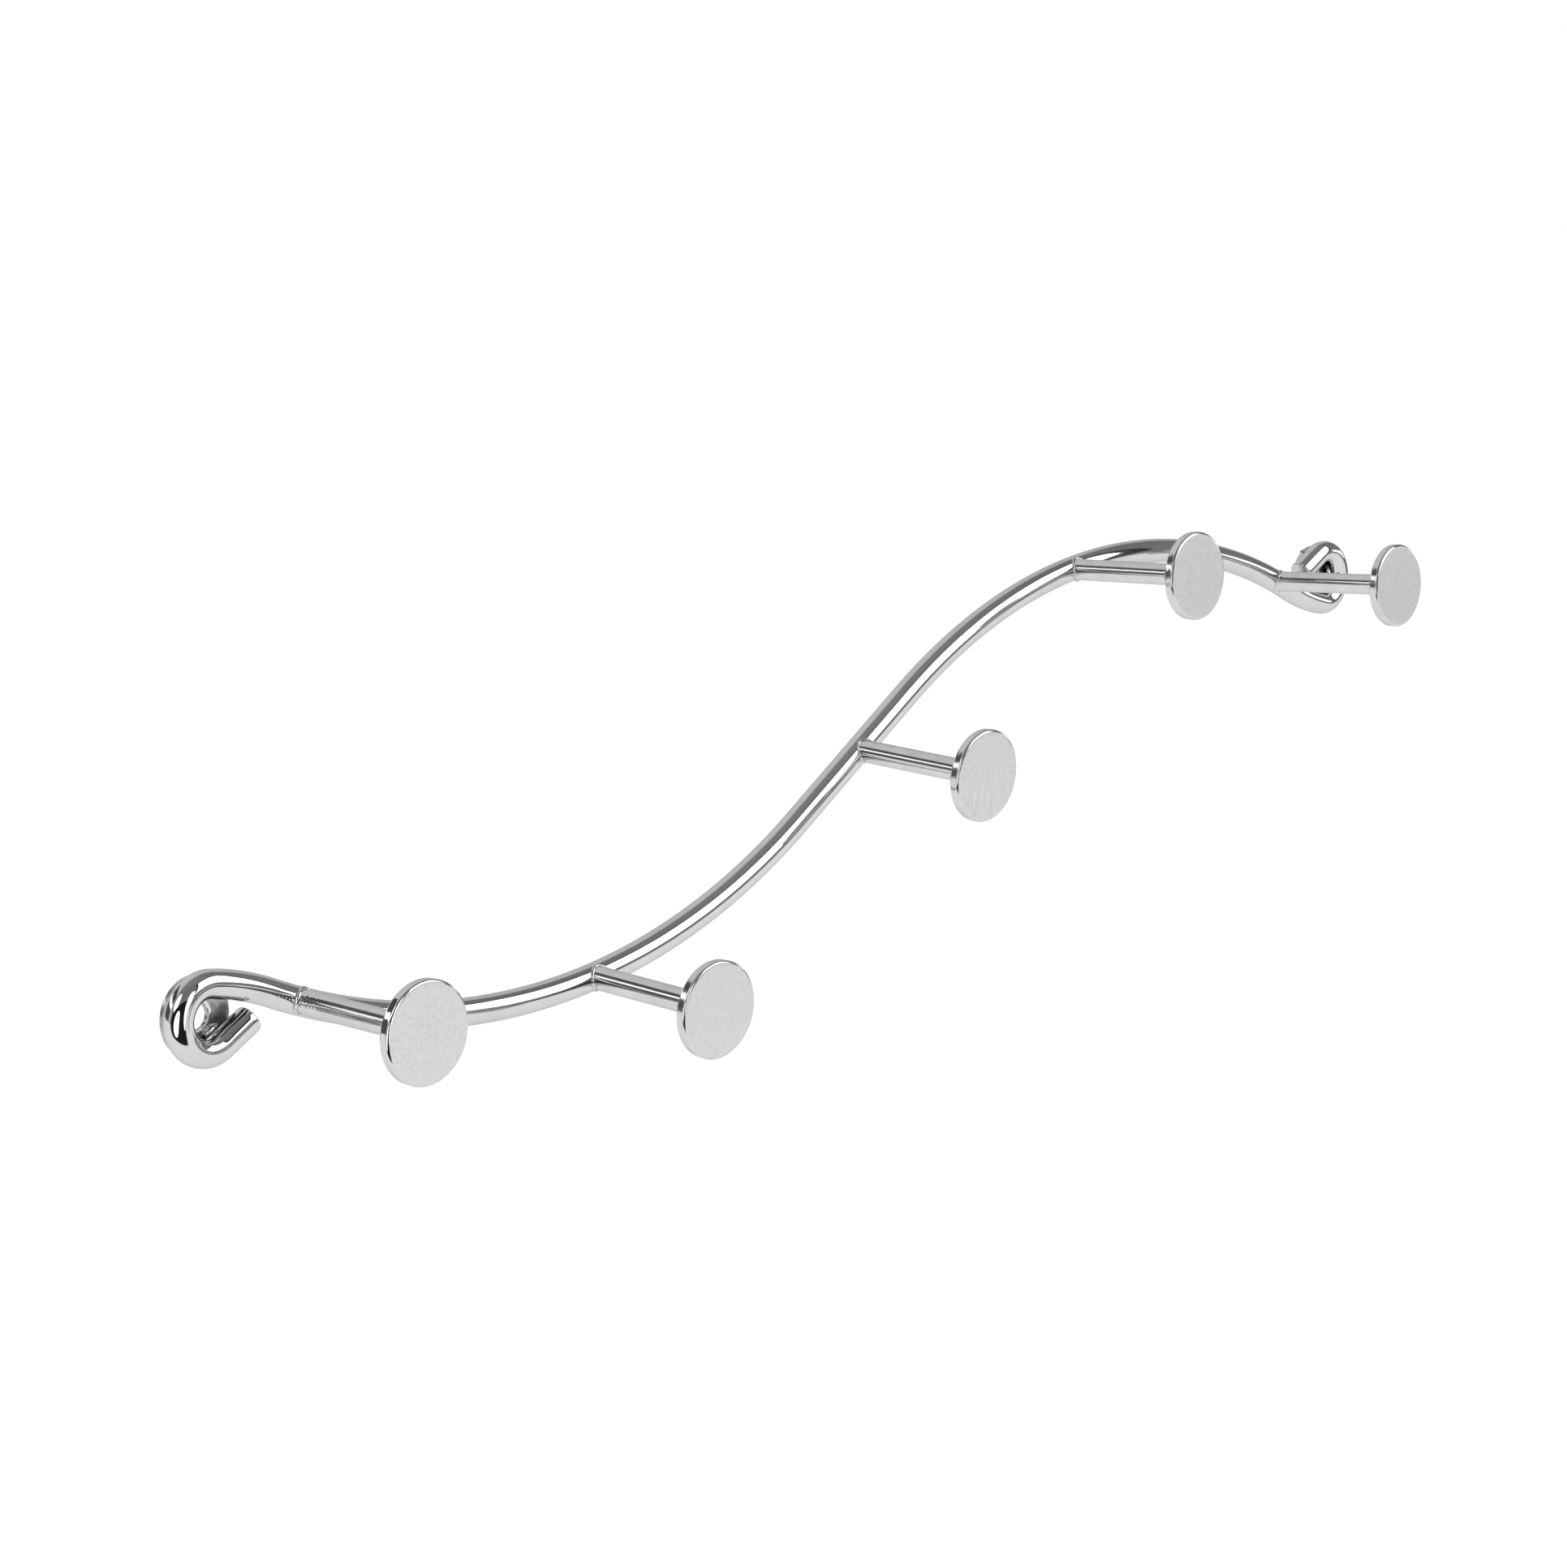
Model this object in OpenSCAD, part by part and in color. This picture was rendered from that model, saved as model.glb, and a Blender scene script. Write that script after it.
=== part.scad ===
// Wall hook rack: one steel rod bent into a long flat S with an open eye at each end,
// a drilled washer behind each eye and five capped pegs on its front.
// The wall is the plane y = 0, the room is towards -Y and the origin is halfway between the screw holes.

/* [Rod] */
// Diameter of the bent rod
rod_d = 8; // [6:0.5:10]
// Length of the straight stretch in the middle of the S
middle_length = 61; // [40:1:80]
// Angle that the straight stretch rises from left to right, in degrees
middle_slope = 33.5; // [25:1:40]
// Radius of the rod's axis along the left long bend
left_wave_radius = 220.5; // [180:0.5:260]
// Radius of the rod's axis along the right long bend
right_wave_radius = 216.5; // [180:0.5:260]
// How far the left long bend turns, in degrees
left_wave_angle = 56.2; // [50:0.1:60]
// How far the right long bend turns, in degrees
right_wave_angle = 58; // [50:0.1:60]

/* [Eyes] */
// Radius of the rod's axis where the long bend leads into the eye
lead_radius = 86; // [60:1:120]
// How far the lead turns, in degrees
lead_angle = 14; // [8:0.5:20]
// Radius of the rod's axis around the eye
eye_radius = 9.1; // [8:0.1:12]
// How far the rod turns around the eye, in degrees
eye_angle = 219; // [200:1:230]
// Length of the straight tail that closes the eye
tail_length = 11.5; // [8:0.5:14]
// Rounding of the tail's cut end
tail_edge = 1.1; // [0.3:0.1:1.5]

/* [Washers] */
// Outer diameter of the washers
washer_d = 22; // [20:0.5:26]
// Thickness of the washers
washer_t = 1.5; // [1:0.1:3]
// Diameter of the screw hole
screw_hole_d = 7.5; // [4:0.1:9]
// Rounding of the washers' outer edges
washer_edge = 0.3; // [0.1:0.1:0.4]
// How far a washer sits from the middle of its eye, back towards the rod
washer_shift = 0; // [0:0.1:2]

/* [Pegs] */
// Diameter of the stems
stem_d = 7; // [5:0.5:7]
// Distance from the front of the rod to the front of a cap
peg_reach = 47.5; // [40:0.5:60]
// Diameter of the caps
cap_d = 28; // [24:1:34]
// Thickness of the caps
cap_t = 3.5; // [3:0.1:6]
// Rounding of the caps' rims
cap_edge = 0.9; // [0.5:0.1:1.4]

/* [Welds] */
// Size of the collar where a stem meets the rod
stem_weld = 0.8; // [0.5:0.1:1.2]
// Size of the fillet behind a cap
cap_weld = 1.2; // [0.6:0.1:2]
// Thickness of the beads that hold the washers
eye_weld_d = 2.4; // [1.8:0.1:3]
// Gap between a washer and its eye, bridged by the beads
eye_weld_gap = 0.1; // [0.05:0.05:0.3]

/* [Hidden] */
$fn = 64;

// Where each peg stands, measured along the rod from its middle
peg_places = [-237.4, -125.8, 3.1, 121, 240];
// How far hand welding left each peg drooping, in degrees
peg_droops = [1.2, 2.3, 3.2, -1.4, -2.2];
// How far hand welding left each peg turned towards +X, in degrees
peg_turns = [-0.4, -1.9, -0.4, -1.1, -0.2];

// Each stretch of the rod stops this far short of its ends, inside a ball this much wider than the rod
joint_gap = 0.1;
ball_step = 0.06;
ball_turn = 40;

rod_depth = washer_t + eye_weld_gap + rod_d / 2;
rod_front = rod_depth + rod_d / 2;

// The rod is drawn as if it lay flat, as a chain of places, each [x, y, heading in degrees].
// Place further along a straight stretch
function ahead(place, length) = [
    place[0] + length * cos(place[2]),
    place[1] + length * sin(place[2]),
    place[2]
];
// Place a given distance to the left of another
function beside(place, offset) = [
    place[0] - offset * sin(place[2]),
    place[1] + offset * cos(place[2]),
    place[2]
];
// Centre of a bend that starts at a place, where a positive turn goes left
function bend_centre(place, radius, turn) = beside(place, sign(turn) * radius);
// Place at the end of that bend
function bent(place, radius, turn) =
    let (centre = bend_centre(place, radius, turn))
    beside([centre[0], centre[1], place[2] + turn], -sign(turn) * radius);

// One half of the rod as its places: middle, start of the long bend, lead, eye, tail and cut end
function half_rod(middle, wave_radius, wave_angle) =
    let (wave = ahead(middle, middle_length / 2))
    let (lead = bent(wave, wave_radius, -wave_angle))
    let (eye = bent(lead, lead_radius, lead_angle))
    let (tail = bent(eye, eye_radius, eye_angle))
    [middle, wave, lead, eye, tail, ahead(tail, tail_length)];
function eye_centre(half) = bend_centre(half[3], eye_radius, eye_angle);
function hole_centre(half) = ahead(eye_centre(half), -washer_shift);

// The halves are first laid out from the rod's middle, then shifted so that the screw holes' midpoint is 0
function right_from(x, z) = half_rod([x, z, middle_slope], right_wave_radius, right_wave_angle);
function left_from(x, z) = half_rod([x, z, middle_slope + 180], left_wave_radius, left_wave_angle);
right_draft = hole_centre(right_from(0, 0));
left_draft = hole_centre(left_from(0, 0));
middle_x = -(right_draft[0] + left_draft[0]) / 2;
middle_z = -(right_draft[1] + left_draft[1]) / 2;
right_half = right_from(middle_x, middle_z);
left_half = left_from(middle_x, middle_z);

// Place on the rod's axis at a distance from its middle, positive to the right
function on_rod(distance) =
    let (half = distance < 0 ? left_half : right_half)
    let (radius = distance < 0 ? left_wave_radius : right_wave_radius)
    let (past_straight = abs(distance) - middle_length / 2)
    past_straight < 0
        ? ahead(half[0], abs(distance))
        : bent(half[1], radius, -past_straight / radius * 180 / PI);

// Stands a flat drawing up, so that its Y becomes Z and its Z points into the room
module upright() {
    rotate([90, 0, 0])
        children();
}

// Lays children at a place of the flat drawing, with +X along the rod
module at_place(place) {
    translate([place[0], place[1], rod_depth])
        rotate([0, 0, place[2]])
            children();
}

// Ball that joins the stretches of rod before and after a place, its seam turned away from theirs
module joining_ball(place, diameter) {
    at_place(place)
        rotate([ball_turn, 90, 0])
            sphere(d = diameter + ball_step);
}

module straight_bar(place, length, diameter) {
    at_place(ahead(place, joint_gap))
        rotate([0, 90, 0])
            cylinder(d = diameter, h = length - 2 * joint_gap);
}

module bent_bar(place, radius, turn, diameter) {
    centre = bend_centre(place, radius, turn);
    start = turn > 0 ? place[2] - 90 : place[2] + 90 + turn;
    gap = joint_gap / radius * 180 / PI;
    translate([centre[0], centre[1], rod_depth])
        rotate([0, 0, start + gap])
            rotate_extrude(angle = abs(turn) - 2 * gap)
                translate([radius, 0])
                    circle(d = diameter);
}

// The long S without its eyes, at any thickness
module wave(diameter) {
    straight_bar(left_half[1] + [0, 0, 180], middle_length, diameter);
    bent_bar(left_half[1], left_wave_radius, -left_wave_angle, diameter);
    bent_bar(right_half[1], right_wave_radius, -right_wave_angle, diameter);
    joining_ball(left_half[1], diameter);
    joining_ball(right_half[1], diameter);
}

// Straight bar whose far end has a rounded edge
module tail(place) {
    at_place(ahead(place, joint_gap))
        rotate([0, 90, 0])
            rotate_extrude() {
                square([rod_d / 2, tail_length - tail_edge]);
                square([rod_d / 2 - tail_edge, tail_length]);
                translate([rod_d / 2 - tail_edge, tail_length - tail_edge])
                    intersection() {
                        circle(r = tail_edge);
                        square(tail_edge);
                    }
            }
}

module eye(half) {
    bent_bar(half[2], lead_radius, lead_angle, rod_d);
    bent_bar(half[3], eye_radius, eye_angle, rod_d);
    tail(half[4]);
    for (place = [half[2], half[3], half[4]])
        joining_ball(place, rod_d);
}

module bent_rod() {
    color("silver")
        upright() {
            wave(rod_d);
            eye(left_half);
            eye(right_half);
        }
}

// Flat round plate with rounded edges, from z = 0 upwards
module rounded_plate(radius, thickness, edge) {
    rotate_extrude() {
        square([radius - edge, thickness]);
        translate([0, edge])
            square([radius, thickness - 2 * edge]);
        for (height = [edge, thickness - edge])
            translate([radius - edge, height])
                circle(r = edge);
    }
}

module washer(half) {
    centre = hole_centre(half);
    color("gainsboro")
        upright()
            translate([centre[0], centre[1], 0])
                difference() {
                    rounded_plate(washer_d / 2, washer_t, washer_edge);
                    translate([0, 0, -1])
                        cylinder(d = screw_hole_d, h = washer_t + 2);
                }
}

// Puts children on a peg's axis, with +Z towards the room and z = 0 at the front of the rod
module on_peg(index) {
    place = on_rod(peg_places[index]);
    translate([place[0], -rod_front, place[1]])
        rotate([peg_droops[index], 0, peg_turns[index]])
            rotate([90, 0, 0])
                children();
}

module stem(index) {
    color("silver")
        difference() {
            on_peg(index)
                translate([0, 0, -rod_d / 2])
                    cylinder(d = stem_d, h = rod_d / 2 + peg_reach - cap_t);
            upright()
                wave(rod_d);
        }
}

module cap(index) {
    color("lightgray")
        on_peg(index)
            translate([0, 0, peg_reach - cap_t])
                rounded_plate(cap_d / 2, cap_t, cap_edge);
}

// Collar that follows the saddle where a stem meets the rod
module stem_weld_bead(index) {
    color("darkgray")
        difference() {
            intersection() {
                upright()
                    wave(rod_d + 2 * stem_weld);
                on_peg(index)
                    translate([0, 0, -rod_d / 2])
                        cylinder(d = stem_d + 2 * stem_weld, h = rod_d);
            }
            upright()
                wave(rod_d);
            on_peg(index)
                translate([0, 0, -rod_d])
                    cylinder(d = stem_d, h = 2 * rod_d);
        }
}

module cap_weld_bead(index) {
    color("darkgray")
        on_peg(index)
            translate([0, 0, peg_reach - cap_t])
                rotate_extrude()
                    polygon([
                        [stem_d / 2, 0],
                        [stem_d / 2 + cap_weld, 0],
                        [stem_d / 2, -cap_weld]
                    ]);
}

// Bead with round ends that fills the groove between a tail and its washer
module eye_weld_bead(half, along, offset, height, length) {
    start = beside(ahead(half[4], along), offset);
    color("darkgray")
        difference() {
            upright()
                translate([start[0], start[1], washer_t + height])
                    rotate([0, 90, start[2]]) {
                        cylinder(d = eye_weld_d, h = length);
                        sphere(d = eye_weld_d);
                        translate([0, 0, length])
                            sphere(d = eye_weld_d);
                    }
            washer(half);
            upright()
                eye(half);
        }
}

module eye_weld_inner(half) {
    eye_weld_bead(half, -1, 3.2, 0.3, 3);
}

module eye_weld_outer(half) {
    eye_weld_bead(half, 0.5, -2.2, 0.1, 2.5);
}

bent_rod();
washer(left_half);  // eye_washer_left
washer(right_half);  // eye_washer_right
stem(0);  // stem_1
stem(1);  // stem_2
stem(2);  // stem_3
stem(3);  // stem_4
stem(4);  // stem_5
cap(0);  // cap_1
cap(1);  // cap_2
cap(2);  // cap_3
cap(3);  // cap_4
cap(4);  // cap_5
stem_weld_bead(0);  // stem_weld_1
stem_weld_bead(1);  // stem_weld_2
stem_weld_bead(2);  // stem_weld_3
stem_weld_bead(3);  // stem_weld_4
stem_weld_bead(4);  // stem_weld_5
cap_weld_bead(0);  // cap_weld_1
cap_weld_bead(1);  // cap_weld_2
cap_weld_bead(2);  // cap_weld_3
cap_weld_bead(3);  // cap_weld_4
cap_weld_bead(4);  // cap_weld_5
eye_weld_inner(left_half);  // eye_weld_left_inner
eye_weld_outer(left_half);  // eye_weld_left_outer
eye_weld_inner(right_half);  // eye_weld_right_inner
eye_weld_outer(right_half);  // eye_weld_right_outer
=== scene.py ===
import math

import bpy
import numpy as np
from mathutils import Matrix, Vector, noise


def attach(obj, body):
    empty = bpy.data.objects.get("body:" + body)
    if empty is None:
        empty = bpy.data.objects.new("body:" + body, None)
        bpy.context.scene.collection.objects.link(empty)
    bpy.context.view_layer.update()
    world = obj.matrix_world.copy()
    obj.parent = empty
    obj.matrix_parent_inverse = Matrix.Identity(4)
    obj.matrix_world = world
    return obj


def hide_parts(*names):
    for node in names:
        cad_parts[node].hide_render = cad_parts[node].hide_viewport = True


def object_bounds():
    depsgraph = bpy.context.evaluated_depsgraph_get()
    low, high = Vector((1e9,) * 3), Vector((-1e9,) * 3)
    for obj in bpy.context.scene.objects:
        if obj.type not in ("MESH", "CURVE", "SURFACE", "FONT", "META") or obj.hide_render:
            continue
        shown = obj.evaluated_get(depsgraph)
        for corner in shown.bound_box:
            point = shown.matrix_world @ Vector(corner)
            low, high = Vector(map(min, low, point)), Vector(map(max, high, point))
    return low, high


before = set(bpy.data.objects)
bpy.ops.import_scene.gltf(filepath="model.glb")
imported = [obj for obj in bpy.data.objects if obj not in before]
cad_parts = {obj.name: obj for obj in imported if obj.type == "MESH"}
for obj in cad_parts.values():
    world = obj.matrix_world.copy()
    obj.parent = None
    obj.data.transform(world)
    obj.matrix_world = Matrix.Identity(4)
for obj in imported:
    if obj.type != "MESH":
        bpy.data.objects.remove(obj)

# A wall hook rack of chromed steel: one round rod bent into a flat S with an eye at each end,
# a drilled washer behind each eye, and five stems with round caps. The wall is the plane y = 0.
# Caps, stems and washers take their places from the CAD nodes, and the rod and the eyes' welds follow
# the CAD's driving dimensions. Lengths are in metres and angles in degrees.

CAD_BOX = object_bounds()
MM = 0.001

# The rod, with the same driving dimensions as the CAD. Its axis lies ROD_DEPTH in front of the wall.
ROD_RADIUS = 4 * MM
ROD_DEPTH = 5.6 * MM
MIDDLE_LENGTH = 61 * MM
MIDDLE_SLOPE = 33.5
WAVE_RADII = {"left": 220.5 * MM, "right": 216.5 * MM}
WAVE_ANGLES = {"left": 56.2, "right": 58}
LEAD_RADIUS = 86 * MM
LEAD_ANGLE = 14
EYE_RADIUS = 9.1 * MM
EYE_ANGLE = 219
TAIL_LENGTH = 11.5 * MM
TAIL_EDGE = 0.9 * MM
EYE_SQUEEZE = 0.018
ROD_STEP, EYE_STEP = 1.2 * MM, 0.45 * MM
ROD_SIDES = 56

# The pegs, numbered from the left, each with how ragged the back edge of its cap is
CAP_BURRS = {"1": 0.02 * MM, "2": 0.02 * MM, "3": 0.05 * MM, "4": 0.05 * MM, "5": 0.04 * MM}
RIPPLED_PEG = "1"
RUBBED_CAP = "3"
STEM_RADIUS = 3.5 * MM
STEM_SIDES = 48
CAP_EDGE = 0.9 * MM
CAP_CROWN = 0.05 * MM
CAP_SIDES = 144

# The washers
WASHER_THICKNESS = 1.5 * MM
WASHER_EDGE = 0.3 * MM
WASHER_SIDES = 96
HOLE_RADIUS = 3.75 * MM
HOLE_EDGE = 0.35 * MM

# The welds: an eye's weld starts this far along the tail, beside its axis and in front of the washer
EYE_WELD_SIZE = 1.15 * MM
EYE_WELD_STARTS = {"inner": (-1 * MM, 3.2 * MM, 0.3 * MM), "outer": (0.5 * MM, -2.2 * MM, 0.1 * MM)}
EYE_WELD_LENGTHS = {
    "left": {"inner": 5 * MM, "outer": 2.5 * MM},
    "right": {"inner": 3 * MM, "outer": 2.5 * MM},
}
COLLAR_POINTS = 150

# Brightness of the plate, and how much of it is left at a grazing angle
CHROME = 0.62
EDGE_TINT = 0.68

# The camera, from the middle of the rod and the wall plane
CAMERA_PLACE = (-0.83691, -0.72796, 0.16635)
CAMERA_HEADING, CAMERA_DIP = 48.106, 8.986
CAMERA_LENS = 83.72


# ---------------------------------------------------------------- places in the frame

def vertices_of(node):
    return np.array([v.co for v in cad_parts[node].data.vertices], float)


def disc_place(node):
    """A round plate's front centre, its axis towards the room, its radius and its thickness."""
    points = vertices_of(node)
    middle = (points.min(0) + points.max(0)) / 2
    spread = (points - middle).T @ (points - middle)
    axis = np.linalg.eigh(spread)[1][:, 0]
    if axis[1] > 0:
        axis = -axis
    along = (points - middle) @ axis
    across = np.linalg.norm((points - middle) - np.outer(along, axis), axis=1)
    centre = middle + axis * along.max()
    return Vector(centre), Vector(axis), across.max(), along.max() - along.min()


def ahead(place, length):
    x, z, heading = place
    turn = math.radians(heading)
    return x + length * math.cos(turn), z + length * math.sin(turn), heading


def beside(place, offset):
    x, z, heading = place
    turn = math.radians(heading)
    return x - offset * math.sin(turn), z + offset * math.cos(turn), heading


def bent(place, radius, turn):
    side = math.copysign(radius, turn)
    x, z, heading = beside(place, side)
    return beside((x, z, heading + turn), -side)


def half_rod(middle, side):
    """The stretches of one half of the rod: start, bend radius (None if straight), and turn or length."""
    wave = ahead(middle, MIDDLE_LENGTH / 2)
    lead = bent(wave, WAVE_RADII[side], -WAVE_ANGLES[side])
    eye = bent(lead, LEAD_RADIUS, LEAD_ANGLE)
    tail = bent(eye, EYE_RADIUS, EYE_ANGLE)
    return [
        (middle, None, MIDDLE_LENGTH / 2),
        (wave, WAVE_RADII[side], -WAVE_ANGLES[side]),
        (lead, LEAD_RADIUS, LEAD_ANGLE),
        (eye, EYE_RADIUS, EYE_ANGLE),
        (tail, None, TAIL_LENGTH),
    ]


def eye_centre(half):
    return beside(half[3][0], EYE_RADIUS)


def laid_out():
    """Both halves of the rod, shifted so that the screw holes' midpoint is the origin."""
    headings = {"right": MIDDLE_SLOPE, "left": MIDDLE_SLOPE + 180}
    drafts = {side: eye_centre(half_rod((0, 0, heading), side)) for side, heading in headings.items()}
    x = -(drafts["left"][0] + drafts["right"][0]) / 2
    z = -(drafts["left"][1] + drafts["right"][1]) / 2
    return {side: half_rod((x, z, heading), side) for side, heading in headings.items()}


def stepped(stretch, step):
    """Places along one stretch of the rod, about a step apart, without its last place."""
    place, radius, amount = stretch
    if radius is None:
        count = max(2, round(amount / step))
        return [ahead(place, amount * i / count) for i in range(count)]
    count = max(2, round(radius * math.radians(abs(amount)) / step))
    return [bent(place, radius, amount * i / count) for i in range(count)]


# ---------------------------------------------------------------- mesh making

def wobble(point, scale, seed):
    """Smooth repeatable noise between about -1 and 1."""
    p = Vector(point) * scale + Vector((seed * 7.3, seed * 3.1, seed * 5.7))
    return noise.noise(p)


def new_piece(name, vertices, faces, materials, node, sharp=35, face_materials=None):
    """Adds a piece that rides on the root, stands for a CAD node and takes the given finishes."""
    mesh = bpy.data.meshes.new(name)
    mesh.from_pydata(vertices, [], faces)
    mesh.validate()
    for material in materials:
        mesh.materials.append(material)
    if face_materials is not None:
        mesh.polygons.foreach_set("material_index", face_materials)
    mesh.polygons.foreach_set("use_smooth", [True] * len(mesh.polygons))
    mesh.set_sharp_from_angle(angle=math.radians(sharp))
    mesh.update()
    piece = bpy.data.objects.new(name, mesh)
    bpy.context.scene.collection.objects.link(piece)
    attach(piece, "root")
    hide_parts(node)


def skin(rings, closed_path=False):
    """Vertices and faces of a surface through rings of equally many points, with fans over open ends."""
    count = len(rings[0])
    vertices = [p for ring in rings for p in ring]
    faces = []
    last = len(rings) if closed_path else len(rings) - 1
    for i in range(last):
        a, b = i * count, (i + 1) % len(rings) * count
        for j in range(count):
            k = (j + 1) % count
            faces.append((a + j, a + k, b + k, b + j))
    if not closed_path:
        for ring, flip in ((0, True), (len(rings) - 1, False)):
            start = ring * count
            centre = len(vertices)
            vertices.append(sum(rings[ring], Vector()) / count)
            for j in range(count):
                k = (j + 1) % count
                face = (start + j, start + k, centre)
                faces.append(face[::-1] if flip else face)
    return vertices, faces


def basis(axis):
    """Two directions square to an axis and to each other, the first one level."""
    first = axis.cross(Vector((0, 0, 1))).normalized()
    return first, axis.cross(first).normalized()


def flipped(faces):
    return [face[::-1] for face in faces]


def lathe(centre, axis, profile, sides, shape):
    """Turns a profile of (radius, height) round an axis; shape moves each point a little."""
    first, second = basis(axis)
    rings = []
    for radius, height in profile:
        ring = []
        for j in range(sides):
            angle = 2 * math.pi * j / sides
            out = first * math.cos(angle) + second * math.sin(angle)
            r, h = shape(radius, height, angle)
            ring.append(centre + out * r + axis * h)
        rings.append(ring)
    return rings


def fillet(corner_radius, corner_height, size, start, end, steps):
    """Profile of a rounded edge about a centre, from one angle to another."""
    points = []
    for i in range(steps + 1):
        angle = math.radians(start + (end - start) * i / steps)
        points.append((corner_radius + size * math.cos(angle), corner_height + size * math.sin(angle)))
    return points


# ---------------------------------------------------------------- materials

def set_ramp(node, stops):
    """Gives a colour ramp its greys."""
    ramp = node.color_ramp
    while len(ramp.elements) < len(stops):
        ramp.elements.new(0.5)
    for element, (position, grey) in zip(ramp.elements, stops):
        element.position = position
        element.color = (grey, grey, grey, 1)


class Nodes:
    """Short ways to build a material's node tree."""

    def __init__(self, name, metallic=1):
        self.material = bpy.data.materials.new(name)
        self.material.use_nodes = True
        self.tree = self.material.node_tree
        self.shader = self.tree.nodes["Principled BSDF"]
        self.shader.inputs["Specular Tint"].default_value = (EDGE_TINT, EDGE_TINT, EDGE_TINT, 1)
        self.object_space = self.tree.nodes.new("ShaderNodeTexCoord").outputs["Object"]
        self.set("Metallic", metallic)

    def link(self, output, socket):
        self.tree.links.new(output, socket)

    def feed(self, socket, value):
        """Gives a socket a number or another node's output."""
        if isinstance(value, (int, float)):
            socket.default_value = value
        else:
            self.link(value, socket)

    def set(self, name, value):
        self.feed(self.shader.inputs[name], value)

    def stretched(self, scale):
        """Object coordinates, squeezed by a scale in each direction."""
        node = self.tree.nodes.new("ShaderNodeMapping")
        node.inputs["Scale"].default_value = scale
        self.link(self.object_space, node.inputs["Vector"])
        return node.outputs["Vector"]

    def noise(self, scale, detail=2.0, roughness=0.5, vector=None):
        node = self.tree.nodes.new("ShaderNodeTexNoise")
        node.inputs["Scale"].default_value = scale
        node.inputs["Detail"].default_value = detail
        node.inputs["Roughness"].default_value = roughness
        self.link(vector or self.object_space, node.inputs["Vector"])
        return node.outputs["Fac"]

    def height(self):
        node = self.tree.nodes.new("ShaderNodeSeparateXYZ")
        self.link(self.object_space, node.inputs["Vector"])
        return node.outputs["Z"]

    def cells(self, scale):
        node = self.tree.nodes.new("ShaderNodeTexVoronoi")
        node.inputs["Scale"].default_value = scale
        self.link(self.object_space, node.inputs["Vector"])
        return node.outputs["Distance"]

    def mapped(self, value, low, high, to_low, to_high):
        node = self.tree.nodes.new("ShaderNodeMapRange")
        for name, number in (("From Min", low), ("From Max", high), ("To Min", to_low), ("To Max", to_high)):
            node.inputs[name].default_value = number
        self.link(value, node.inputs["Value"])
        return node.outputs["Result"]

    def math(self, operation, one, other):
        node = self.tree.nodes.new("ShaderNodeMath")
        node.operation = operation
        self.feed(node.inputs[0], one)
        self.feed(node.inputs[1], other)
        return node.outputs["Value"]

    def ramp(self, value, stops):
        node = self.tree.nodes.new("ShaderNodeValToRGB")
        set_ramp(node, stops)
        self.link(value, node.inputs["Fac"])
        return node.outputs["Color"]

    def bump(self, height, strength, distance, below=None):
        node = self.tree.nodes.new("ShaderNodeBump")
        node.inputs["Strength"].default_value = strength
        node.inputs["Distance"].default_value = distance
        self.link(height, node.inputs["Height"])
        if below is not None:
            self.link(below, node.inputs["Normal"])
        return node.outputs["Normal"]


def bright_chrome():
    """Mirror-bright plate with faint cloudiness, polishing marks and a few pits."""
    n = Nodes("bright_chrome")
    clouds = n.noise(55, 3)
    n.set("Base Color", n.ramp(clouds, [(0.3, CHROME * 0.94), (0.7, CHROME * 1.03)]))
    smears = n.noise(160, 4, 0.6, n.stretched((1, 1, 2.5)))
    n.set("Roughness", n.mapped(smears, 0.3, 0.75, 0.02, 0.075))
    swell = n.bump(n.noise(120, 1), 0.25, 0.04 * MM)
    peel = n.bump(n.noise(900, 2), 0.12, 0.01 * MM, swell)
    pits = n.mapped(n.cells(330), 0.0, 0.07, 0.0, 1.0)
    n.set("Normal", n.bump(pits, 0.25, 0.02 * MM, peel))
    return n.material


def drawn_chrome():
    """Plate over drawn bar, cloudier than the rod, with fine marks along the bar."""
    n = Nodes("drawn_chrome")
    clouds = n.noise(140, 4, 0.6)
    n.set("Base Color", n.ramp(clouds, [(0.3, CHROME * 0.9), (0.7, CHROME * 1.04)]))
    marks = n.noise(500, 4, 0.6, n.stretched((1, 0.1, 1)))
    n.set("Roughness", n.mapped(marks, 0.3, 0.75, 0.09, 0.2))
    drawn = n.bump(marks, 0.2, 0.02 * MM)
    n.set("Normal", n.bump(n.noise(1400, 2), 0.15, 0.01 * MM, drawn))
    return n.material


def satin_chrome(name, rubbed, level):
    """Plate over a cap's ground face: mottled and pitted, with upright rub marks below a level."""
    n = Nodes(name)
    mottle = n.noise(1500, 4, 0.7)
    rubs = n.noise(60, 4, 0.6, n.stretched((14, 1, 3)))
    share = n.mapped(n.height(), level, level - 8 * MM, 0.0, rubbed)
    kept = n.math("MULTIPLY", mottle, n.math("SUBTRACT", 1, share))
    grey = n.math("ADD", kept, n.math("MULTIPLY", rubs, share))
    n.set("Base Color", n.ramp(grey, [(0.3, 0.58), (0.5, 0.68), (0.7, 0.78)]))
    n.set("Roughness", n.mapped(mottle, 0.3, 0.7, 0.38, 0.5))
    grain = n.bump(n.noise(2600, 3, 0.6), 0.35, 0.01 * MM)
    lumps = n.bump(n.noise(260, 2), 0.2, 0.03 * MM, grain)
    pits = n.mapped(n.cells(260), 0.0, 0.055, 0.0, 1.0)
    n.set("Normal", n.bump(pits, 0.5, 0.04 * MM, lumps))
    return n.material


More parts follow.
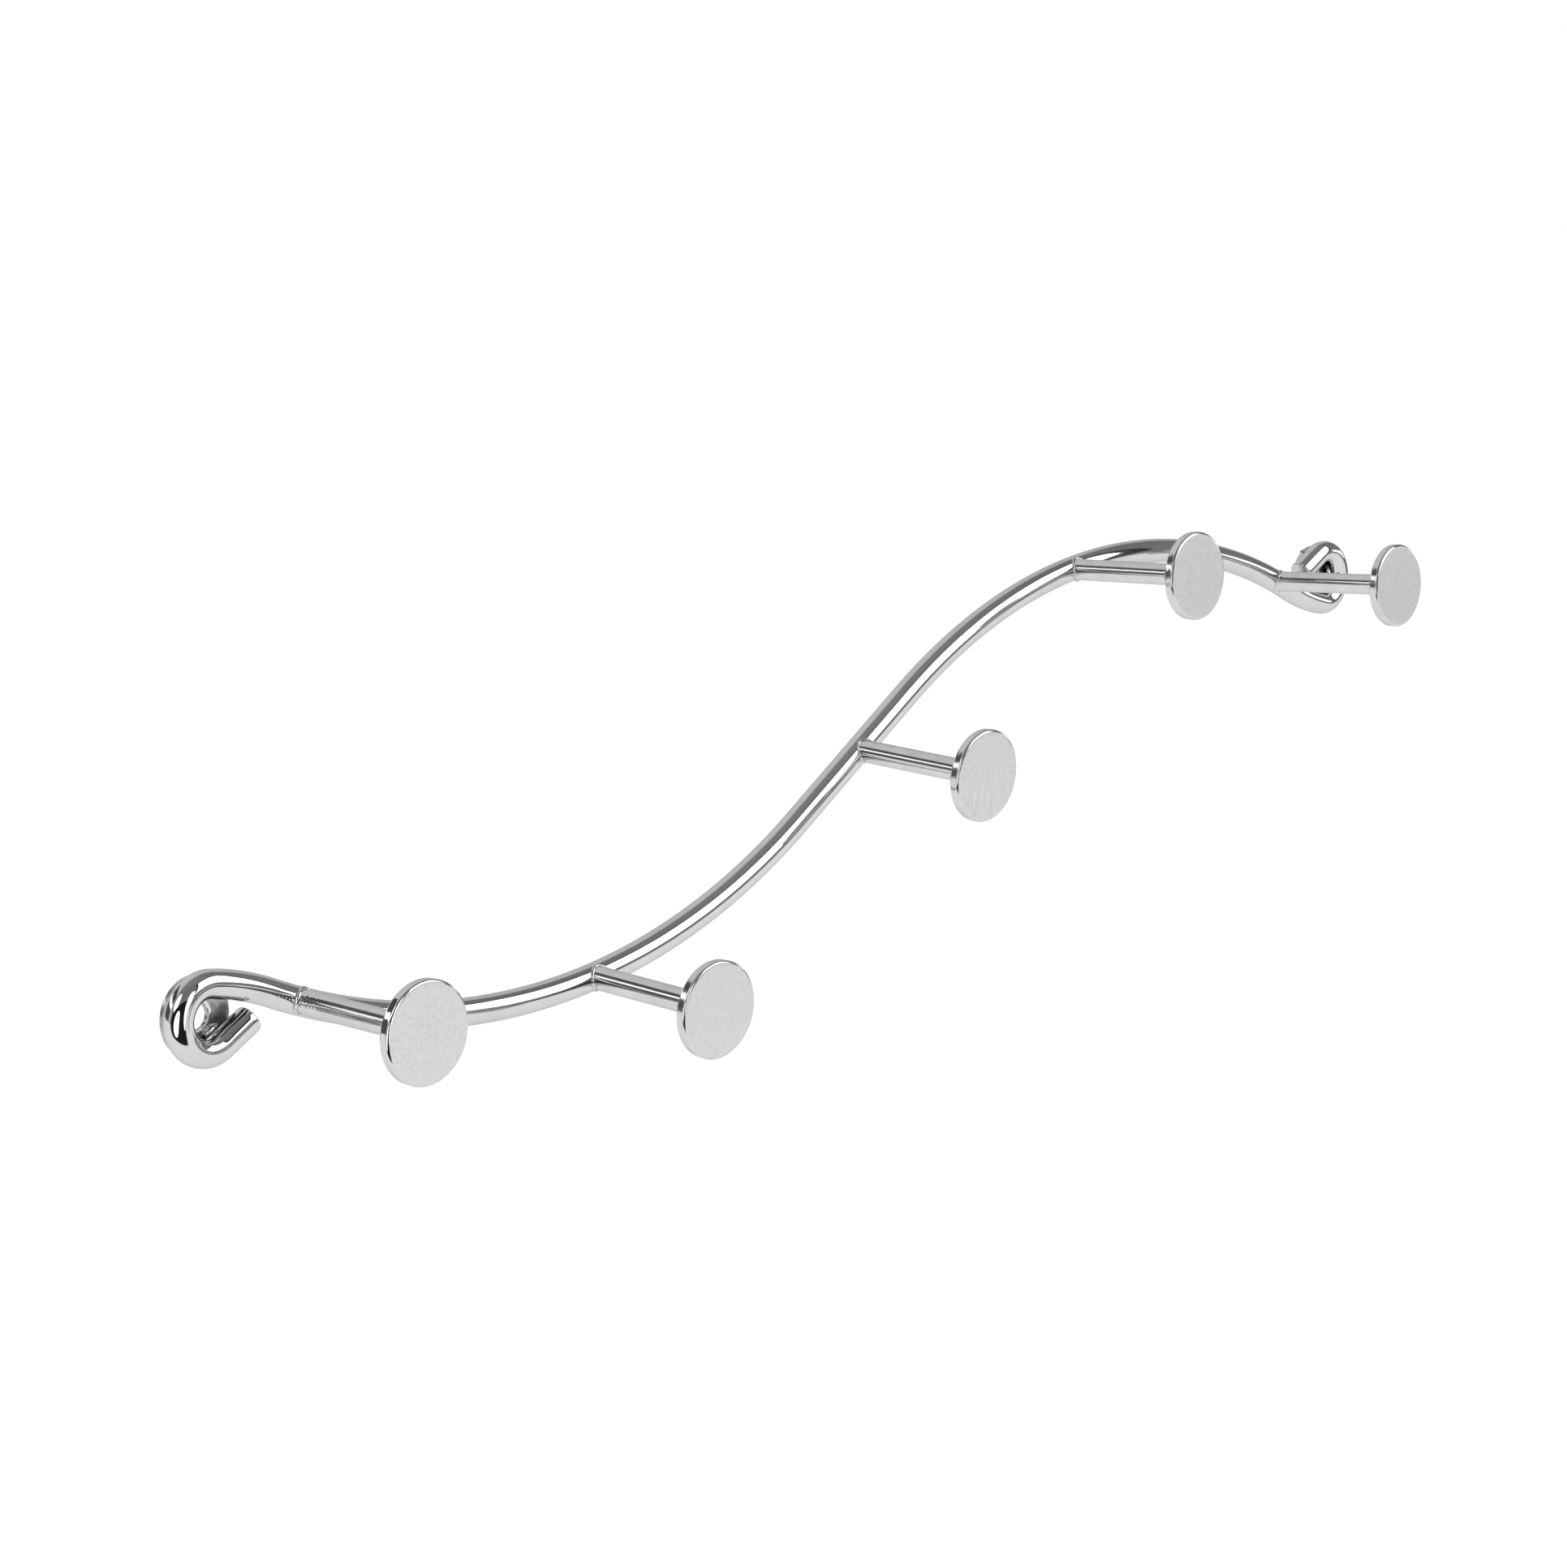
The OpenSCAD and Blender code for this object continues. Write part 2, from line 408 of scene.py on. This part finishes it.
def dull_chrome():
    """The washers: thin plate over stamped steel, stained and slightly rough."""
    n = Nodes("dull_chrome")
    stains = n.noise(240, 5, 0.65)
    n.set("Base Color", n.ramp(stains, [(0.3, 0.30), (0.55, 0.5), (0.75, 0.6)]))
    n.set("Roughness", n.mapped(stains, 0.3, 0.7, 0.4, 0.18))
    grain = n.bump(n.noise(1500, 4, 0.6), 0.4, 0.02 * MM)
    n.set("Normal", n.bump(n.noise(300, 2), 0.25, 0.05 * MM, grain))
    return n.material


def weld_chrome():
    """Plate over weld metal: bright, rippled and pitted."""
    n = Nodes("weld_chrome")
    scale = n.noise(700, 4, 0.65)
    n.set("Base Color", n.ramp(scale, [(0.3, 0.42), (0.5, 0.62), (0.7, 0.74)]))
    n.set("Roughness", n.mapped(scale, 0.3, 0.7, 0.26, 0.07))
    ripples = n.bump(n.noise(900, 2, 0.5), 0.25, 0.04 * MM)
    pits = n.mapped(n.cells(900), 0.0, 0.2, 0.0, 1.0)
    n.set("Normal", n.bump(pits, 0.12, 0.02 * MM, ripples))
    return n.material


def cut_steel():
    """The sawn ends of the rod, plated over the saw's marks."""
    n = Nodes("cut_steel")
    marks = n.noise(500, 3, 0.6, n.stretched((1, 1, 6)))
    n.set("Base Color", n.ramp(marks, [(0.3, 0.42), (0.7, 0.66)]))
    n.set("Roughness", n.mapped(marks, 0.3, 0.7, 0.35, 0.2))
    n.set("Normal", n.bump(marks, 0.6, 0.08 * MM))
    return n.material


# ---------------------------------------------------------------- the rod

def rod_ring(place, radius, squeeze=0):
    """One ring round the rod's axis, squeezed a little in the plane of the bend."""
    x, z, heading = place
    turn = math.radians(heading)
    side = Vector((-math.sin(turn), 0, math.cos(turn)))
    centre = Vector((x, -ROD_DEPTH, z))
    ring = []
    for j in range(ROD_SIDES):
        angle = 2 * math.pi * j / ROD_SIDES
        out = side * (math.cos(angle) * (1 - squeeze)) + Vector((0, -1, 0)) * math.sin(angle)
        ring.append(centre + out * radius)
    return ring


def rod_places(half):
    """Where one half's rings lie, closer together in the eye, without those that its sawn end replaces."""
    places = []
    for stretch in half:
        places += stepped(stretch, EYE_STEP if stretch[1] == EYE_RADIUS else ROD_STEP)
    end = ahead(half[-1][0], TAIL_LENGTH)
    margin = TAIL_EDGE + 0.3 * MM
    return [p for p in places if math.hypot(p[0] - end[0], p[1] - end[1]) > margin]


def cut_end(place, seed):
    """Rings of a sawn end, whose rounded edge and face are both a little uneven."""
    rings = []
    steps = 5
    for i in range(steps + 1):
        angle = math.radians(90 * i / steps)
        radius = ROD_RADIUS - TAIL_EDGE + TAIL_EDGE * math.cos(angle)
        rings.append(rod_ring(ahead(place, TAIL_EDGE * (math.sin(angle) - 1)), radius))
    for share in (0.97, 0.93, 0.8, 0.6, 0.4, 0.2):
        rings.append(rod_ring(place, (ROD_RADIUS - TAIL_EDGE) * share))
    heading = math.radians(place[2])
    inwards = Vector((-math.cos(heading), 0, -math.sin(heading)))
    edge_depths, face_depths = [0.16 * MM] * 5, [0.05 * MM] * 4
    for ring, depth in zip(rings[3:], edge_depths + face_depths):
        for j, point in enumerate(ring):
            rough = 0.5 + 0.5 * wobble(point, 900, seed)
            ring[j] = point + inwards * depth * rough
    return rings


def make_rod(halves, materials):
    """The whole rod, from the left tail's end to the right tail's end."""
    left_end = ahead(halves["left"][-1][0], TAIL_LENGTH)
    right_end = ahead(halves["right"][-1][0], TAIL_LENGTH)

    def turned(place):
        return place[0], place[1], place[2] + 180

    def squeeze(place):
        """The eyes' tight bends are a little oval."""
        for half in halves.values():
            centre = eye_centre(half)
            if math.hypot(place[0] - centre[0], place[1] - centre[1]) < EYE_RADIUS * 1.02:
                return EYE_SQUEEZE
        return 0

    def left_ring(ring):
        """A ring of the left half, in the order that the right half's rings have."""
        return [ring[(len(ring) // 2 - j) % len(ring)] for j in range(len(ring))]

    rings = [left_ring(r) for r in reversed(cut_end(left_end, 3))]
    for place in reversed(rod_places(halves["left"])):
        rings.append(rod_ring(turned(place), ROD_RADIUS, squeeze(place)))
    for place in rod_places(halves["right"])[1:]:
        rings.append(rod_ring(place, ROD_RADIUS, squeeze(place)))
    rings += cut_end(right_end, 5)
    vertices, faces = skin(rings)
    # The sawn faces come first and last: those at the right end are followed by the fans over both ends
    sawn = 7 * ROD_SIDES
    right_sawn = (len(rings) - 1) * ROD_SIDES - sawn
    kinds = [1 if i < sawn or i >= right_sawn else 0 for i in range(len(faces))]
    new_piece("rod", vertices, faces, materials, "bent_rod", sharp=50, face_materials=kinds)


# ---------------------------------------------------------------- pegs

def make_cap(number, place, wall_finish, front_finish):
    """Turned plate with rounded rims; its front falls away from the middle by a hair."""
    centre, axis, radius, thickness = place
    flat = radius - CAP_EDGE
    front = [(flat * s, -CAP_CROWN * s * s) for s in (0.02, 0.2, 0.4, 0.6, 0.8, 0.93)]
    rim = fillet(flat, -CAP_EDGE, CAP_EDGE - CAP_CROWN, 90, 0, 9)
    rim = [(r + CAP_CROWN * math.cos(math.radians(90 - 10 * i)), h) for i, (r, h) in enumerate(rim)]
    wall = [(radius, -CAP_EDGE - (thickness - 2 * CAP_EDGE) * s) for s in (0.2, 0.4, 0.6, 0.8)]
    foot = fillet(flat, CAP_EDGE - thickness, CAP_EDGE, 0, -90, 7)
    rear = [(flat * s, -thickness) for s in (0.9, 0.6, 0.4, 0.28)]

    def shape(r, h, angle):
        """Polishing leaves waves of a hundredth of a millimetre, and plate is ragged on the back edge."""
        where = (r * math.cos(angle), r * math.sin(angle), h)
        if h < -0.45 * thickness and r > 0.8 * radius:
            r -= CAP_BURRS[number] * (1 + wobble(where, 1500, int(number)))
        return r, h - 0.012 * MM * (1 + wobble(where, 220, int(number)))

    rings = lathe(centre, axis, front + rim + wall + foot + rear, CAP_SIDES, shape)
    vertices, faces = skin(rings)
    front_faces = (len(front) + 1) * CAP_SIDES
    front_fan = range((len(rings) - 1) * CAP_SIDES, len(rings) * CAP_SIDES)
    kinds = [1 if i < front_faces or i in front_fan else 0 for i in range(len(faces))]
    new_piece("cap_" + number + "_plate", vertices, flipped(faces), [wall_finish, front_finish],
              "cap_" + number, face_materials=kinds)


def weld_ripple(past, where):
    """How far a weld's heat has raised a stem's skin, some millimetres past the rod's surface."""
    reach = 13
    fade = max(0.0, 1 - max(past, 0) / reach) ** 1.4
    ripple = math.sin(past * 4.2 + 2.5 * wobble(where, 0.8, 9)) * 0.07
    lump = wobble(where, 0.9, 4) * 0.09 + wobble(where, 2.2, 6) * 0.05
    return MM * fade * (ripple + lump)


def stem_foot(cap_place, rod_line):
    """Where a stem's axis, run back from its cap, meets the rod's axis, and the rod's direction there."""
    centre, axis = cap_place[:2]
    foot = centre - axis * ((centre.y + ROD_DEPTH) / axis.y)
    place = min(rod_line, key=lambda p: math.hypot(p[0] - foot.x, p[1] - foot.z))
    heading = math.radians(place[2])
    return foot, Vector((math.cos(heading), 0, math.sin(heading)))


def make_stem(number, cap_place, foot, finish):
    """Round bar from inside the rod's front to the cap's back. One of them is rippled near its weld."""
    centre, axis, _, thickness = cap_place
    length = (centre - axis * thickness - foot).dot(axis)

    def shape(r, h, angle):
        where = (math.cos(angle) * 3, math.sin(angle) * 3, h / MM)
        r = r * (1 + 0.0025 * wobble(where, 0.35, int(number)))
        if number == RIPPLED_PEG:
            r += weld_ripple((h - ROD_RADIUS) / MM, where)
        return r, h

    steps = 120
    start = ROD_RADIUS * 0.4
    into_cap = 0.3 * MM
    profile = [(STEM_RADIUS, start + (length + into_cap - start) * i / steps) for i in range(steps + 1)]
    vertices, faces = skin(lathe(foot, axis, profile, STEM_SIDES, shape))
    new_piece("stem_" + number + "_bar", vertices, faces, [finish], "stem_" + number)


# ---------------------------------------------------------------- welds

def bead(path, sizes, closed, seed, sides=20, lump=0.12, pitch=0.8 * MM):
    """A lumpy rope of weld metal along a path, with a crescent for each drop, a pitch apart."""
    rings = []
    travelled = 0
    dip = 0.04
    count = len(path)
    for i, point in enumerate(path):
        after = path[(i + 1) % count] if closed or i + 1 < count else point
        before = path[i - 1] if closed or i else point
        tangent = (after - before).normalized()
        if i:
            travelled += (point - path[i - 1]).length
        first, second = basis(tangent if abs(tangent.z) < 0.99 else tangent + Vector((0.1, 0, 0)))
        drop = 1 - dip * abs(math.sin(math.pi * travelled / pitch))
        ring = []
        for j in range(sides):
            angle = 2 * math.pi * j / sides
            out = first * math.cos(angle) + second * math.sin(angle)
            where = point + out * 0.5 * MM
            rough = 1 + lump * wobble(where, 700, seed)
            rough += 0.35 * lump * wobble(where, 2200, seed + 1)
            ring.append(point + out * sizes[i] * drop * rough)
        rings.append(ring)
    return skin(rings, closed_path=closed)


def make_stem_weld(number, axis, foot, along, weld):
    """Bead in the saddle where a stem meets the rod. It is thinner below, most of all on the rippled peg."""
    full, lost = (0.72, 0.42) if number == RIPPLED_PEG else (0.57, 0.14)
    across = axis.cross(along).normalized()
    level = across.cross(axis).normalized()
    lift = 0.1 * MM
    path, sizes = [], []
    for i in range(COLLAR_POINTS):
        angle = 2 * math.pi * i / COLLAR_POINTS
        offset = STEM_RADIUS * math.sin(angle)
        height = math.sqrt(ROD_RADIUS ** 2 - offset ** 2) + lift
        path.append(foot + level * STEM_RADIUS * math.cos(angle) + across * offset + axis * height)
        below = 0.5 - 0.5 * math.cos(angle)
        swell = wobble((math.cos(angle) * 2, math.sin(angle) * 2, 0), 1, int(number) + 11)
        sizes.append((full - lost * below ** 2 + 0.1 * swell) * MM)
    vertices, faces = bead(path, sizes, True, int(number) + 20)
    new_piece("stem_weld_" + number + "_bead", vertices, faces, [weld],
              "stem_weld_" + number, sharp=70)


def make_cap_weld(number, cap_place, weld):
    """Uneven bead round the stem behind a cap."""
    centre, axis, _, thickness = cap_place
    first, second = basis(axis)
    behind, outside = 0.28 * MM, 0.22 * MM
    path, sizes = [], []
    for i in range(COLLAR_POINTS):
        angle = 2 * math.pi * i / COLLAR_POINTS
        out = first * math.cos(angle) + second * math.sin(angle)
        path.append(centre - axis * (thickness + behind) + out * (STEM_RADIUS + outside))
        swell = wobble((math.cos(angle) * 2.2, math.sin(angle) * 2.2, 0), 1, int(number) + 31)
        sizes.append((0.62 + 0.25 * swell) * MM)
    vertices, faces = bead(path, sizes, True, int(number) + 40)
    new_piece("cap_weld_" + number + "_bead", vertices, faces, [weld],
              "cap_weld_" + number, sharp=70)


def make_eye_weld(side, kind, tail, weld, seed):
    """Run of drops in the groove between a tail and its washer."""
    along, offset, height = EYE_WELD_STARTS[kind]
    start = beside(ahead(tail, along), offset)
    length = EYE_WELD_LENGTHS[side][kind]
    steps = 44
    path, sizes = [], []
    for i in range(steps + 1):
        share = i / steps
        x, z, _ = ahead(start, length * share)
        path.append(Vector((x, -(WASHER_THICKNESS + height), z)))
        fade = math.sin(math.pi * (0.04 + 0.92 * share)) ** 0.45
        sizes.append(EYE_WELD_SIZE * fade * (1 + 0.2 * wobble((share * 4, 0, 0), 1, seed)))
    vertices, faces = bead(path, sizes, False, seed, 28, lump=0.1, pitch=1.1 * MM)
    name = "eye_weld_" + side + "_" + kind
    new_piece(name + "_bead", vertices, faces, [weld], name, sharp=70)


# ---------------------------------------------------------------- washers

def make_washer(side, dull, chrome):
    """Stamped plate with rounded edges and a hole whose rim is rolled over slightly."""
    node = "eye_washer_" + side
    centre, axis, radius, thickness = disc_place(node)
    rim_steps = 6
    front = fillet(HOLE_RADIUS + HOLE_EDGE, -HOLE_EDGE, HOLE_EDGE, 180, 90, rim_steps)
    front += [(radius * s, 0) for s in (0.45, 0.6, 0.75, 0.9)]
    outer = fillet(radius - WASHER_EDGE, -WASHER_EDGE, WASHER_EDGE, 90, 0, 5)
    outer += fillet(radius - WASHER_EDGE, WASHER_EDGE - thickness, WASHER_EDGE, 0, -90, 5)
    back = [(radius * s, -thickness) for s in (0.8, 0.5)]
    back_edge = 0.1 * MM
    back += [(HOLE_RADIUS + back_edge, -thickness), (HOLE_RADIUS, back_edge - thickness)]

    def shape(r, h, angle):
        """The front is slightly wavy and the back is flat on the wall."""
        where = (r * math.cos(angle), r * math.sin(angle), h)
        sink = 0.03 * MM * (1 + wobble(where, 260, 2 if side == "left" else 8))
        return r, h - sink if h > -0.5 * thickness else h

    vertices, faces = skin(lathe(centre, axis, front + outer + back, WASHER_SIDES, shape), closed_path=True)
    rim_faces = (rim_steps + 1) * WASHER_SIDES
    kinds = [1 if i < rim_faces else 0 for i in range(len(faces))]
    new_piece(node + "_plate", vertices, flipped(faces), [dull, chrome], node,
              face_materials=kinds)


# ---------------------------------------------------------------- the studio

def facing(azimuth, elevation, distance, roll, around):
    """Place and turn of something flat that faces a point. Azimuth is from +Y towards +X."""
    a, e = math.radians(azimuth), math.radians(elevation)
    out = Vector((math.sin(a) * math.cos(e), math.cos(a) * math.cos(e), math.sin(e)))
    turn = out.to_track_quat("Z", "Y").to_matrix().to_4x4()
    return Matrix.Translation(around + out * distance) @ turn @ Matrix.Rotation(math.radians(roll), 4, "Z")


def area_light(name, azimuth, elevation, distance, width, height, radiance, roll=0, around=Vector(),
               shape="RECTANGLE"):
    """A softbox that faces a point and that the camera doesn't see."""
    light = bpy.data.lights.new(name, "AREA")
    light.shape = shape
    light.size, light.size_y = width, height
    light.energy = radiance * math.pi * width * height
    lamp = bpy.data.objects.new(name, light)
    lamp.matrix_world = facing(azimuth, elevation, distance, roll, around)
    lamp.visible_camera = False
    bpy.context.scene.collection.objects.link(lamp)


def card(name, azimuth, elevation, distance, width, height, grey, roll=0, around=Vector(), corners=4):
    """A flat card that the camera doesn't see. With many corners it is an oval."""
    mesh = bpy.data.meshes.new(name)
    reach = 0.5 / math.cos(math.pi / corners)
    turns = [math.pi * (2 * i + 1) / corners for i in range(corners)]
    edge = [(width * reach * math.cos(t), height * reach * math.sin(t), 0) for t in turns]
    mesh.from_pydata(edge, [], [tuple(range(corners))])
    material = bpy.data.materials.new(name)
    material.use_nodes = True
    shader = material.node_tree.nodes["Principled BSDF"]
    shader.inputs["Base Color"].default_value = (grey, grey, grey, 1)
    shader.inputs["Roughness"].default_value = 1
    shader.inputs["Specular IOR Level"].default_value = 0
    mesh.materials.append(material)
    piece = bpy.data.objects.new(name, mesh)
    piece.matrix_world = facing(azimuth, elevation, distance, roll, around)
    piece.visible_camera = False
    bpy.context.scene.collection.objects.link(piece)


def make_floor():
    """Pale glowing floor well below the rack."""
    reach, height = 3.5, -0.36
    mesh = bpy.data.meshes.new("floor")
    corners = [(x * reach, y * reach, height) for x, y in ((-1, -1), (1, -1), (1, 1), (-1, 1))]
    mesh.from_pydata(corners, [], [(0, 1, 2, 3)])
    n = Nodes("pale_floor", metallic=0)
    speckle = n.noise(3, 3)
    n.set("Base Color", n.ramp(speckle, [(0.3, 0.10), (0.7, 0.12)]))
    n.set("Roughness", 0.8)
    n.set("Emission Strength", 1.0)
    n.shader.inputs["Emission Color"].default_value = (1, 1, 1, 1)
    mesh.materials.append(n.material)
    floor = bpy.data.objects.new("floor", mesh)
    bpy.context.scene.collection.objects.link(floor)


def make_world():
    """White behind the rack, and the dimmer room that the chrome mirrors: grey above, paler behind."""
    world = bpy.data.worlds.new("studio")
    bpy.context.scene.world = world
    world.use_nodes = True
    tree = world.node_tree
    tree.nodes.clear()
    new = tree.nodes.new
    output = new("ShaderNodeOutputWorld")
    mix = new("ShaderNodeMixShader")
    seen = new("ShaderNodeBackground")
    room = new("ShaderNodeBackground")
    path = new("ShaderNodeLightPath")
    where = new("ShaderNodeTexCoord")
    split = new("ShaderNodeSeparateXYZ")
    height = new("ShaderNodeValToRGB")
    behind = new("ShaderNodeValToRGB")
    blend = new("ShaderNodeMix")
    blend.data_type = "RGBA"
    blend.blend_type = "LIGHTEN"
    blend.inputs["Factor"].default_value = 1
    tree.links.new(where.outputs["Generated"], split.inputs["Vector"])
    tree.links.new(split.outputs["Z"], height.inputs["Fac"])
    tree.links.new(split.outputs["Y"], behind.inputs["Fac"])
    set_ramp(height, [(0.0, 0.28), (0.5, 0.26), (0.8, 0.22), (1.0, 0.3)])
    set_ramp(behind, [(0.0, 0.2), (0.22, 0.3), (0.32, 0.7), (0.7, 0.85), (1.0, 0.88)])
    # A mix node has its two colours in inputs 6 and 7 and the mixed colour in output 2
    tree.links.new(height.outputs["Color"], blend.inputs[6])
    tree.links.new(behind.outputs["Color"], blend.inputs[7])
    tree.links.new(blend.outputs[2], room.inputs["Color"])
    seen.inputs["Color"].default_value = (1, 1, 1, 1)
    tree.links.new(path.outputs["Is Camera Ray"], mix.inputs["Fac"])
    tree.links.new(room.outputs["Background"], mix.inputs[1])
    tree.links.new(seen.outputs["Background"], mix.inputs[2])
    tree.links.new(mix.outputs["Shader"], output.inputs["Surface"])


def make_camera(middle):
    """Stands off to the left and a little above the rack, and looks slightly down at it."""
    heading, dip = math.radians(CAMERA_HEADING), math.radians(CAMERA_DIP)
    aim = Vector((math.sin(heading) * math.cos(dip), math.cos(heading) * math.cos(dip), -math.sin(dip)))
    data = bpy.data.cameras.new("camera")
    data.lens = CAMERA_LENS
    data.clip_start, data.clip_end = 0.05, 50
    camera = bpy.data.objects.new("camera", data)
    x, y, z = CAMERA_PLACE
    camera.location = Vector((middle[0] + x, y, middle[1] + z))
    camera.rotation_mode = "QUATERNION"
    camera.rotation_quaternion = aim.to_track_quat("-Z", "Y")
    bpy.context.scene.collection.objects.link(camera)
    bpy.context.scene.camera = camera


def make_studio():
    """The world, the floor, softboxes and cards. The calls' numbers are azimuth, elevation, distance,
    width, height, and a light's radiance or a card's grey."""
    make_world()
    make_floor()

    # The key light in front to the right, with a dark frame round it
    area_light("key_softbox", 147, 32, 1.7, 1.5, 1.35, 2.4, roll=-8)
    card("key_frame", 147, 32, 1.75, 1.8, 1.65, 0.06, roll=-8)

    # In front of the left eye: a dark oval that it mirrors, with two lights before it, and a softbox above
    eye = disc_place("eye_washer_left")[0]
    card("dark_front", -137, -8, 0.42, 1.35, 0.68, 0.02, around=eye, corners=40)
    area_light("front_strip", -122, -6, 0.38, 0.24, 0.36, 1.6, roll=-25, around=eye, shape="ELLIPSE")
    area_light("key_edge", -181, 10, 0.38, 0.15, 0.36, 1.7, roll=10, around=eye, shape="ELLIPSE")
    area_light("left_softbox", -98, 36, 0.85, 0.42, 0.6, 1.7, around=eye, shape="ELLIPSE")

    # Behind the wall plane to the left: a dark card with a strip before it. And a low strip on the right.
    card("dark_back", -40, 20, 1.9, 1.7, 1.6, 0.12)
    area_light("back_strip", -42, 21, 1.82, 1.6, 0.3, 1.7)
    area_light("right_strip", 106, 7, 1.6, 0.7, 0.2, 2.2)
    bpy.context.scene.view_settings.view_transform = "Standard"


# ---------------------------------------------------------------- putting it together

halves = laid_out()
chrome, drawn, dull, weld, cut = bright_chrome(), drawn_chrome(), dull_chrome(), weld_chrome(), cut_steel()
rack_top = CAD_BOX[1][2]
satin = satin_chrome("satin_chrome", 0.1, rack_top)
rubbed_level = disc_place("cap_" + RUBBED_CAP)[0].z + 4 * MM
rubbed_satin = satin_chrome("rubbed_satin_chrome", 0.65, rubbed_level)

make_camera(halves["right"][0][0])
make_rod(halves, [chrome, cut])

rod_line = [p for half in halves.values() for s in half[:2] for p in stepped(s, 0.1 * MM)]
for number in CAP_BURRS:
    cap_place = disc_place("cap_" + number)
    foot, along = stem_foot(cap_place, rod_line)
    wall_finish = chrome if number == RIPPLED_PEG else drawn
    make_cap(number, cap_place, wall_finish, rubbed_satin if number == RUBBED_CAP else satin)
    make_stem(number, cap_place, foot, drawn)
    make_stem_weld(number, cap_place[1], foot, along, weld)
    make_cap_weld(number, cap_place, weld)

for i, (side, half) in enumerate(halves.items()):
    tail = half[-1][0]
    make_washer(side, dull, chrome)
    make_eye_weld(side, "inner", tail, weld, 50 + i)
    make_eye_weld(side, "outer", tail, weld, 60 + i)

make_studio()
